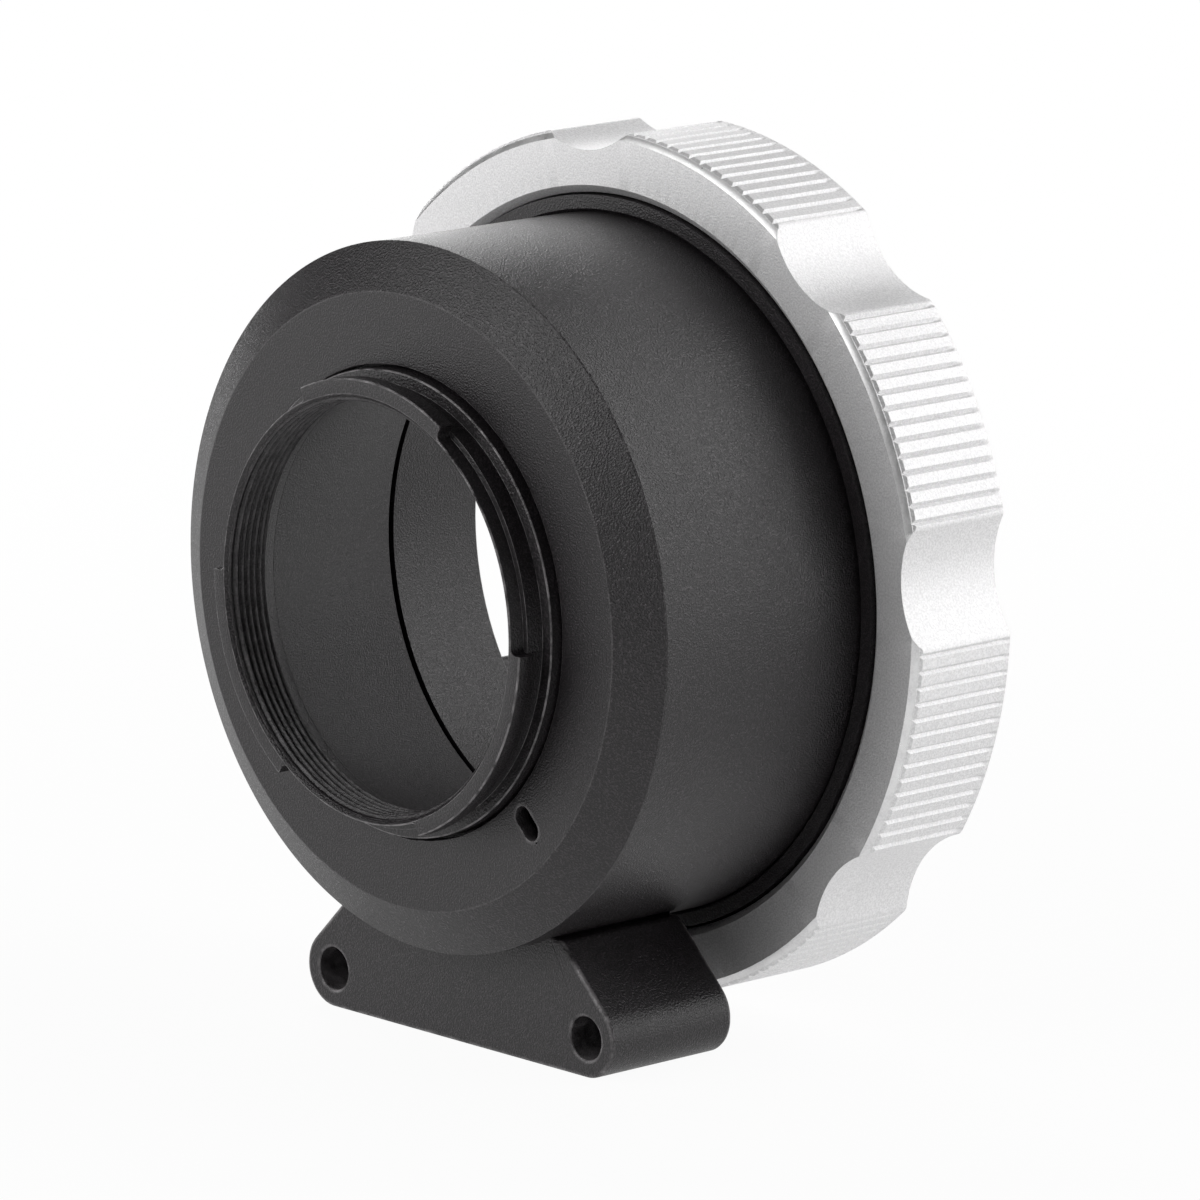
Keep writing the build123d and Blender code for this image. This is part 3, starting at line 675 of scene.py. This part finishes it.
class ADAPTER_OT_bayonet(bpy.types.Operator):
    """Camera bayonet: three lugs, neck, collar, flange and mouth"""
    bl_idname = "adapter.bayonet"
    bl_label = "Camera bayonet"

    def execute(self, context):
        s = context.scene.adapter_bayonet
        cover = context.scene.adapter_cover
        seat = context.scene.adapter_seat
        steps = 720
        # finer steps at the lugs' ends, counted in fillets from each end
        ends = np.concatenate([np.linspace(-0.25, 1.0, 26), [-0.002, 0.002]]) * s.fillet / s.gap
        fine = [np.radians(start) - ends for start, _ in LUG_SPANS]
        fine += [np.radians(end) + ends for _, end in LUG_SPANS]
        angles = np.unique(np.round(np.concatenate([np.arange(steps) * 2 * math.pi / steps] + fine)
                                    % (2 * math.pi), 5))
        lug = np.full(len(angles), s.gap)
        for start, end in LUG_SPANS:
            middle, half = math.radians(start + end) / 2, math.radians(end - start) / 2
            off = np.abs((angles - middle + math.pi) % (2 * math.pi) - math.pi) - half
            away = np.clip(off * s.gap, 0.0, s.fillet)
            hollow = s.gap + s.fillet - np.sqrt(s.fillet ** 2 - (s.fillet - away) ** 2)
            lug = np.maximum(lug, np.where(off <= 0.0, s.lug, hollow))
        ones = np.ones(len(angles))
        front, back = -s.reach, -s.reach + s.thickness
        mouth_end = s.mouth_depth - s.reach
        flange_front, flange_back = cover.inner_thickness, cover.thickness
        throat = light_cone(s, seat, seat.liner_front)
        pocket = throat + seat.liner_wall + seat.fit
        rows = [(s.mouth + s.lip, front), (lug - s.edge, front), (lug, front + s.edge), (lug, back),
                (s.neck, back), (s.neck, -s.collar_height), (s.collar - s.edge, -s.collar_height),
                (s.collar, -s.collar_height + s.edge), (s.collar, flange_front), (s.flange, flange_front),
                (s.flange, flange_back), (s.boss, flange_back), (s.boss, s.boss_back), (pocket, s.boss_back),
                (pocket, seat.liner_front), (throat, seat.liner_front), (s.mouth, mouth_end),
                (s.mouth, front + s.lip)]
        corners = np.stack([np.stack([r * ones, y * ones], axis=-1) for r, y in rows], axis=1)
        profile, edge = rounded(corners, np.full(len(rows), SHARP), 2)
        # the edge breaks of the lugs and of the collar carry a painted highlight and a smoother gloss over
        # their whole width
        edge = edge.copy()
        edge[:, 4:8] = 1.0
        edge[:, 19:23] = 1.0
        spun_piece("camera_bayonet_skin", profile, angles, edge, "adapter_body",
                   "blasted_black", ["camera_bayonet"])
        return {"FINISHED"}


class ADAPTER_OT_thread(bpy.types.Operator):
    """Fine thread in the mouth: flat-topped ridges on a helix that fade out at both ends"""
    bl_idname = "adapter.thread"
    bl_label = "Mouth thread"

    def execute(self, context):
        s = context.scene.adapter_bayonet
        count, rows_a_turn = 480, 16
        turns = np.arange(count) * 2 * math.pi / count
        first, last = s.thread_start - s.reach, s.mouth_depth - s.reach
        stations = np.linspace(first, last, int((last - first) / s.pitch * rows_a_turn) + 1)
        turn, station = np.meshgrid(turns, stations, indexing="ij")
        phase = ((station - first) / s.pitch + turn / (2 * math.pi)) % 1.0
        ridge = np.clip(1.25 * (1 - np.abs(2 * phase - 1) * 1.5), 0.0, 1.0)
        fade = (np.clip((station - first) / (0.3 * s.pitch), 0, 1)
                * np.clip((last - station) / (0.6 * s.pitch), 0, 1))
        inner = s.mouth - 0.01 * MILLIMETRE - s.crest * ridge * fade
        outer = np.full_like(inner, s.mouth + 0.1 * MILLIMETRE)
        radius = np.concatenate([inner, outer[:, ::-1]], axis=1)
        along = np.concatenate([station, station[:, ::-1]], axis=1)
        profile = np.stack([radius, along], axis=-1)
        # the ridge crests get a painted highlight through the edge tone
        edge_highlight_level = 0.25
        tones = np.concatenate([ridge * fade * edge_highlight_level, np.zeros_like(ridge)], axis=1)
        spun_piece("mouth_thread", profile, turns, tones, "adapter_body", "blasted_black")
        return {"FINISHED"}


class ADAPTER_OT_cover(bpy.types.Operator):
    """Front cover with the wide bevel and the locking-pin slot"""
    bl_idname = "adapter.cover"
    bl_label = "Front cover"

    def execute(self, context):
        s = context.scene.adapter_cover
        count = 720
        step = 2 * math.pi / count
        angles = s.slot_angle + (np.arange(count) + 0.5) * step
        # the ring of the face that holds the slot lies between these radii
        inner, outer = s.slot_radius - 0.62 * s.slot_length, s.slot_radius + 0.60 * s.slot_length
        corners = [(inner, 0.0), (s.hole + s.hole_edge, 0.0), (s.hole, s.hole_edge),
                   (s.hole, s.inner_thickness), (s.recess, s.inner_thickness), (s.recess, s.thickness),
                   (s.rim, s.thickness), (s.rim, s.thickness - s.rim_wall), (s.face, 0.0), (outer, 0.0)]
        breaks = MILLIMETRE * np.array([0.0, 0.04, 0.04, 0.04, 0.04, 0.04, 0.06, 0.1, 0.12, 0.0])
        profile, edge = rounded(corners, breaks, 2, closed=False)
        # painted highlight on the edge breaks: full at the hole, weaker on the bevel
        bevel_edge_highlight = 0.25
        edge = edge * np.where(profile[..., 0] > s.recess, bevel_edge_highlight, 1.0)
        ring = spun(profile, angles)
        width = ring.shape[1]
        points = ring.reshape(-1, 3)
        faces = grid_faces(count, width, wrap_columns=False)
        # that ring of the face, outside the slot's sector
        rows = np.arange(SECTOR, count - SECTOR - 1)
        first, following = rows * width, (rows + 1) * width
        band = np.stack([first + width - 1, first, following, following + width - 1], axis=-1)
        patch = slot_patch(s, inner, outer, (SECTOR + 0.5) * step)
        rim_count, level_count = patch.shape[:2]
        patch_faces = grid_faces(rim_count, level_count, wrap_columns=False, start=len(points))
        faces = outwards(points, np.concatenate([faces, band]))
        points = np.concatenate([points, patch.reshape(-1, 3)])
        patch_faces = facing_camera(points, patch_faces, level_count - 1)
        faces = np.concatenate([faces, patch_faces])
        # the slot's lip gets a painted highlight too
        tones = np.concatenate([np.broadcast_to(edge, (count, width)).ravel(),
                                np.tile([0, 0, 0.5, 1, 0.5, 0, 0, 0], rim_count)])
        piece("front_cover_skin", points, faces, tones, "adapter_body",
              "blasted_black", ["front_cover"])
        return {"FINISHED"}


# Half the width of the slot's sector, in steps round the cover
SECTOR = 10


def slot_patch(s, inner, outer, side):
    """The slot and the sector of face round it, as a grid. It runs from the sector's rim in straight lines
    to the slot's edge, then down the wall and over the floor, at angles seen from the slot's middle."""
    arc = np.linspace(-side, side, 2 * SECTOR + 2)
    spokes = np.linspace(outer, inner, 9)[1:-1]
    rim = np.concatenate([at_angles(outer, arc), at_angles(spokes, side),
                          at_angles(inner, arc[::-1]), at_angles(spokes[::-1], -side)])
    rim = rim - np.array([s.slot_radius, 0.0])
    away = np.arctan2(rim[:, 1], rim[:, 0])
    w, a = s.slot_width / 2, (s.slot_length - s.slot_width) / 2
    flat = w / np.maximum(np.abs(np.sin(away)), 1e-9)
    tip = a * np.abs(np.cos(away)) + np.sqrt(np.maximum(w ** 2 - (a * np.sin(away)) ** 2, 0.0))
    reach = np.where(np.abs(flat * np.cos(away)) <= a, flat, tip)
    slot = at_angles(reach, away)
    lip = s.slot_edge
    outward = slot / reach[:, None]
    depth = s.thickness - 0.02 * MILLIMETRE
    levels = [(rim, 0.0), (slot + outward * 5 * lip, 0.0), (slot + outward * lip, 0.0),
              (slot + outward * lip * 0.3, lip * 0.3), (slot, lip), (slot, depth * 0.5), (slot, depth),
              (slot * 0.02, depth)]
    patch = np.stack([np.column_stack([xy[:, 0] + s.slot_radius, np.full(len(xy), y), xy[:, 1]])
                      for xy, y in levels], axis=1)
    cosine, sine = math.cos(s.slot_angle), math.sin(s.slot_angle)
    turn = np.array([[cosine, 0.0, sine], [0.0, 1.0, 0.0], [-sine, 0.0, cosine]])
    return patch @ turn


def facing_camera(points, faces, step):
    """Faces of a grid whose first face in each row, every step-th one, is part of a flat front: all are
    turned over if those look away from -Y."""
    a, b, c = (points[faces[::step, k]] for k in range(3))
    normal = np.cross(b - a, c - a).sum(axis=0)
    return faces[:, ::-1] if normal[1] > 0 else faces


class ADAPTER_OT_foot(bpy.types.Operator):
    """Foot: two mirrored halves, each a loop from its hole to the outline, carried from front to back"""
    bl_idname = "adapter.foot"
    bl_label = "Foot"

    def execute(self, context):
        s = context.scene.adapter_foot
        barrel = context.scene.adapter_barrel.radius
        bottom = -barrel - s.drop
        hole = np.array([s.spacing / 2, bottom + s.corner])
        outline, broken = foot_outline(s, barrel, bottom, hole)
        tangent = np.roll(outline, -1, axis=0) - np.roll(outline, 1, axis=0)
        tangent /= np.linalg.norm(tangent, axis=1)[:, None]
        normal = np.stack([tangent[:, 1], -tangent[:, 0]], axis=-1)
        normal[0] = (0.0, -1.0)
        rounding = np.where(broken, s.edge, 0.0)[:, None]

        away = outline - hole
        direction = away / np.linalg.norm(away, axis=1)[:, None]
        wall = hole + direction * s.hole
        inset = outline - normal * rounding
        # the third number of each bend row is the edge tone: a painted highlight on the edge breaks
        bend = ((0.0, 1.0, 0.4), (0.293, 0.293, 1.0), (1.0, 0.0, 0.4))
        rows = [(wall + direction * s.lip * out, s.front + s.lip * deep, tone) for out, deep, tone in bend]
        rows += [(wall + direction * s.lip * 1.6, s.front, 0.0),
                 (inset - normal * rounding * 0.5, s.front, 0.0)]
        rows += [(outline - normal * rounding * out, s.front + rounding[:, 0] * deep, tone)
                 for out, deep, tone in reversed(bend)]
        rows += [(outline, s.front + rounding[:, 0] * 1.5 + 1e-6, 0.0)]
        rows += [(xy, s.front + s.back - station, tone) for xy, station, tone in reversed(rows)]
        count = len(outline)
        grid = np.stack([np.column_stack([xy[:, 0], np.broadcast_to(station, (count,)), xy[:, 1]])
                         for xy, station, _ in rows], axis=1)
        points = grid.reshape(-1, 3)
        faces = outwards(points, grid_faces(count, len(rows)))
        # the cut through the middle of the foot has no wall of its own
        faces = faces[np.abs(points[faces][:, :, 0]).max(axis=1) > 1e-9]
        faces = np.concatenate([faces, faces[:, ::-1] + len(points)])
        points = np.concatenate([points, points * np.array([-1.0, 1.0, 1.0])])
        tones = np.tile([tone for _, _, tone in rows], 2 * count)
        piece("support_foot_skin", points, faces, tones, "adapter_body",
              "blasted_black", ["support_foot"])
        return {"FINISHED"}


def foot_outline(s, barrel, bottom, hole):
    """Outline of the foot's right half, anticlockwise from the middle of the underside, and which of its
    points have an edge break."""
    top = -barrel + s.wrap
    corner = hole + at_angles(s.corner, np.radians(np.linspace(-90, 45, 40)))
    peak = np.array([corner[-1, 0] + corner[-1, 1] - top, top])
    saddle_x = math.sqrt(barrel ** 2 - top ** 2)
    cut = s.shoulder * math.tan(math.radians(22.5))
    slope_end = peak + cut * np.array([1.0, -1.0]) / math.sqrt(2)
    flat_start = peak - np.array([cut, 0.0])
    centre = flat_start - np.array([0.0, s.shoulder])
    shoulder = centre + at_angles(s.shoulder, np.radians(np.linspace(45, 90, 10)))
    saddle = at_angles(barrel, np.linspace(math.atan2(top, saddle_x), -math.pi / 2, 40))
    count = 24
    outside = np.concatenate([
        np.linspace((0.0, bottom), (hole[0], bottom), count), corner[1:],
        np.linspace(corner[-1], slope_end, count)[1:], shoulder[1:],
        np.linspace(flat_start, (saddle_x, top), count)[1::6]])
    # the saddle and the cut in the middle have no edge break
    cut_line = np.linspace((0.0, -barrel), (0.0, bottom), count)[1:-1]
    outline = np.concatenate([outside, saddle, cut_line])
    broken = np.arange(len(outline)) < len(outside)
    keep = np.concatenate([[True], np.linalg.norm(np.diff(outline, axis=0), axis=1) > 1e-7])
    return outline[keep], broken[keep]


def direction_at(azimuth, elevation):
    """Unit vector from the object: azimuth from the front towards the right, elevation above the floor."""
    return Vector((math.sin(azimuth) * math.cos(elevation), -math.cos(azimuth) * math.cos(elevation),
                   math.sin(elevation)))


# Name, azimuth and elevation in degrees, and power in watts of each square lamp
LAMPS = (
    ("lamp_behind_left", -120.0, 5.0, 0.95),
    ("lamp_behind_left_high", -120.0, 35.0, 1.36),
    ("lamp_left", -60.0, 5.0, 0.57),
    ("lamp_front_left", -30.0, 5.0, 0.42),
    ("lamp_front_left_high", -38.0, 33.0, 0.88),
    ("lamp_front_high", -6.0, 30.0, 1.35),
    ("lamp_right", 120.0, 5.0, 1.15),
    ("lamp_right_top", 130.0, 50.0, 0.28),
    ("lamp_rear", 150.0, 5.0, 0.38),
    ("lamp_rear_high", 141.0, 32.0, 1.30),
    ("lamp_rear_top", 178.0, 45.0, 0.80),
)


class ADAPTER_OT_studio(bpy.types.Operator):
    """Camera at the photo's angle, pale floor, soft lamps, and white where only the camera looks"""
    bl_idname = "adapter.studio"
    bl_label = "Studio"

    def execute(self, context):
        s = context.scene.adapter_studio
        scene = context.scene
        scene.view_settings.view_transform = "Standard"
        back = direction_at(s.azimuth, s.elevation)
        right = Vector((math.cos(s.azimuth), math.sin(s.azimuth), 0.0))
        up = back.cross(right)
        right, up = (right * math.cos(s.roll) + up * math.sin(s.roll),
                     up * math.cos(s.roll) - right * math.sin(s.roll))
        place = Vector((0.0, s.middle, 0.0)) + back * s.distance + right * s.right + up * s.up
        data = bpy.data.cameras.new("camera")
        data.lens = s.focal
        data.sensor_width = 36.0
        data.clip_start = 0.01
        camera = bpy.data.objects.new("camera", data)
        camera.matrix_world = Matrix((
            (right.x, up.x, back.x, place.x), (right.y, up.y, back.y, place.y),
            (right.z, up.z, back.z, place.z), (0, 0, 0, 1)))
        scene.collection.objects.link(camera)
        scene.camera = camera

        target = Vector((0.0, s.target, 0.0))
        for name, azimuth, elevation, power in LAMPS:
            lamp = bpy.data.lights.new(name, "AREA")
            lamp.size = s.lamp_size
            lamp.energy = power
            towards = direction_at(math.radians(azimuth), math.radians(elevation))
            obj = bpy.data.objects.new(name, lamp)
            obj.visible_camera = False
            obj.matrix_world = (Matrix.Translation(target + towards * s.lamp_distance)
                                @ towards.to_track_quat("Z", "Y").to_matrix().to_4x4())
            scene.collection.objects.link(obj)

        world = bpy.data.worlds.new("studio_air")
        scene.world = world
        world.use_nodes = True
        nodes, links = world.node_tree.nodes, world.node_tree.links
        air = nodes["Background"]
        air.inputs["Color"].default_value = (1.0, 1.0, 1.0, 1.0)
        air.inputs["Strength"].default_value = s.world
        seen = nodes.new("ShaderNodeBackground")
        seen.inputs["Color"].default_value = (1.0, 1.0, 1.0, 1.0)
        seen.inputs["Strength"].default_value = 1.0
        path = nodes.new("ShaderNodeLightPath")
        mix = nodes.new("ShaderNodeMixShader")
        links.new(path.outputs["Is Camera Ray"], mix.inputs[0])
        links.new(air.outputs[0], mix.inputs[1])
        links.new(seen.outputs[0], mix.inputs[2])
        links.new(mix.outputs[0], nodes["World Output"].inputs["Surface"])

        half = s.floor_size / 2
        low = float(cad_box[0][2])
        mesh = bpy.data.meshes.new("floor")
        corners = [(-half, -half, low), (half, -half, low), (half, half, low), (-half, half, low)]
        mesh.from_pydata(corners, [], [(0, 1, 2, 3)])
        floor = bpy.data.objects.new("floor", mesh)
        scene.collection.objects.link(floor)
        mesh.materials.append(studio_floor())
        return {"FINISHED"}


def studio_floor():
    """Pale paper: white to the camera and in gloss, with the soft shadow kept near the object."""
    f = Finish("studio_floor")
    fibre = f.noise(0.002, 3.0)
    f.set(Base_Color=f.mix(fibre, (0.86, 0.86, 0.86, 1.0), (0.88, 0.88, 0.88, 1.0)),
          Roughness=0.9, Metallic=0.0, Specular_IOR_Level=0.1)
    f.bump(fibre, 0.00003, 0.2)
    glow = f.node("ShaderNodeEmission", {}, {"Color": (1.0, 1.0, 1.0, 1.0), "Strength": 1.0})
    path = f.node("ShaderNodeLightPath")
    middle = f.node("ShaderNodeVectorMath", {"operation": "LENGTH"}, {0: f.place}).outputs["Value"]
    far = Value(f, middle).above(0.10, 0.40)
    amount = (Value(f, path.outputs["Is Camera Ray"]) * (far * 0.05 + 0.95)
              + Value(f, path.outputs["Is Glossy Ray"]) * 0.67)
    blend = f.node("ShaderNodeMixShader", {}, {0: amount, 1: f.shader.outputs[0], 2: glow.outputs[0]})
    f.tree.links.new(blend.outputs[0], f.tree.nodes["Material Output"].inputs["Surface"])
    return f.material


class ADAPTER_PT_sidebar(bpy.types.Panel):
    """Sizes, finishes and pieces of the adapter"""
    bl_label = "Lens mount adapter"
    bl_idname = "ADAPTER_PT_sidebar"
    bl_space_type = "VIEW_3D"
    bl_region_type = "UI"
    bl_category = "Adapter"

    def draw(self, context):
        for title, group, operators in SECTIONS:
            box = self.layout.box()
            box.label(text=title)
            settings = getattr(context.scene, group)
            for key in settings.__annotations__:
                box.prop(settings, key)
            for operator in operators:
                box.operator(operator)


SECTIONS = (
    ("Finishes", "adapter_finishes", ("adapter.finishes",)),
    ("Camera bayonet", "adapter_bayonet", ("adapter.bayonet", "adapter.thread")),
    ("Front cover", "adapter_cover", ("adapter.cover",)),
    ("Barrel", "adapter_barrel", ("adapter.barrel",)),
    ("Seat and liner", "adapter_seat", ("adapter.liner",)),
    ("Locking ring", "adapter_ring", ("adapter.grip_ring",)),
    ("Foot", "adapter_foot", ("adapter.foot",)),
    ("Studio", "adapter_studio", ("adapter.studio",)),
)

GROUPS = {
    "adapter_finishes": Finishes,
    "adapter_bayonet": BayonetSizes,
    "adapter_cover": CoverSizes,
    "adapter_barrel": BarrelSizes,
    "adapter_seat": SeatSizes,
    "adapter_ring": RingSizes,
    "adapter_foot": FootSizes,
    "adapter_studio": StudioSettings,
}

OPERATORS = (ADAPTER_OT_finishes, ADAPTER_OT_bayonet, ADAPTER_OT_thread, ADAPTER_OT_cover,
             ADAPTER_OT_barrel, ADAPTER_OT_liner, ADAPTER_OT_grip_ring, ADAPTER_OT_foot,
             ADAPTER_OT_studio)


def register():
    for group in GROUPS.values():
        bpy.utils.register_class(group)
    for operator in OPERATORS:
        bpy.utils.register_class(operator)
    bpy.utils.register_class(ADAPTER_PT_sidebar)
    for name, group in GROUPS.items():
        setattr(bpy.types.Scene, name, PointerProperty(type=group))


def unregister():
    for name in GROUPS:
        delattr(bpy.types.Scene, name)
    bpy.utils.unregister_class(ADAPTER_PT_sidebar)
    for operator in reversed(OPERATORS):
        bpy.utils.unregister_class(operator)
    for group in reversed(list(GROUPS.values())):
        bpy.utils.unregister_class(group)


def main():
    register()
    for _, _, operators in SECTIONS:
        for operator in operators:
            category, name = operator.split(".")
            getattr(getattr(bpy.ops, category), name)()


if __name__ == "__main__":
    main()
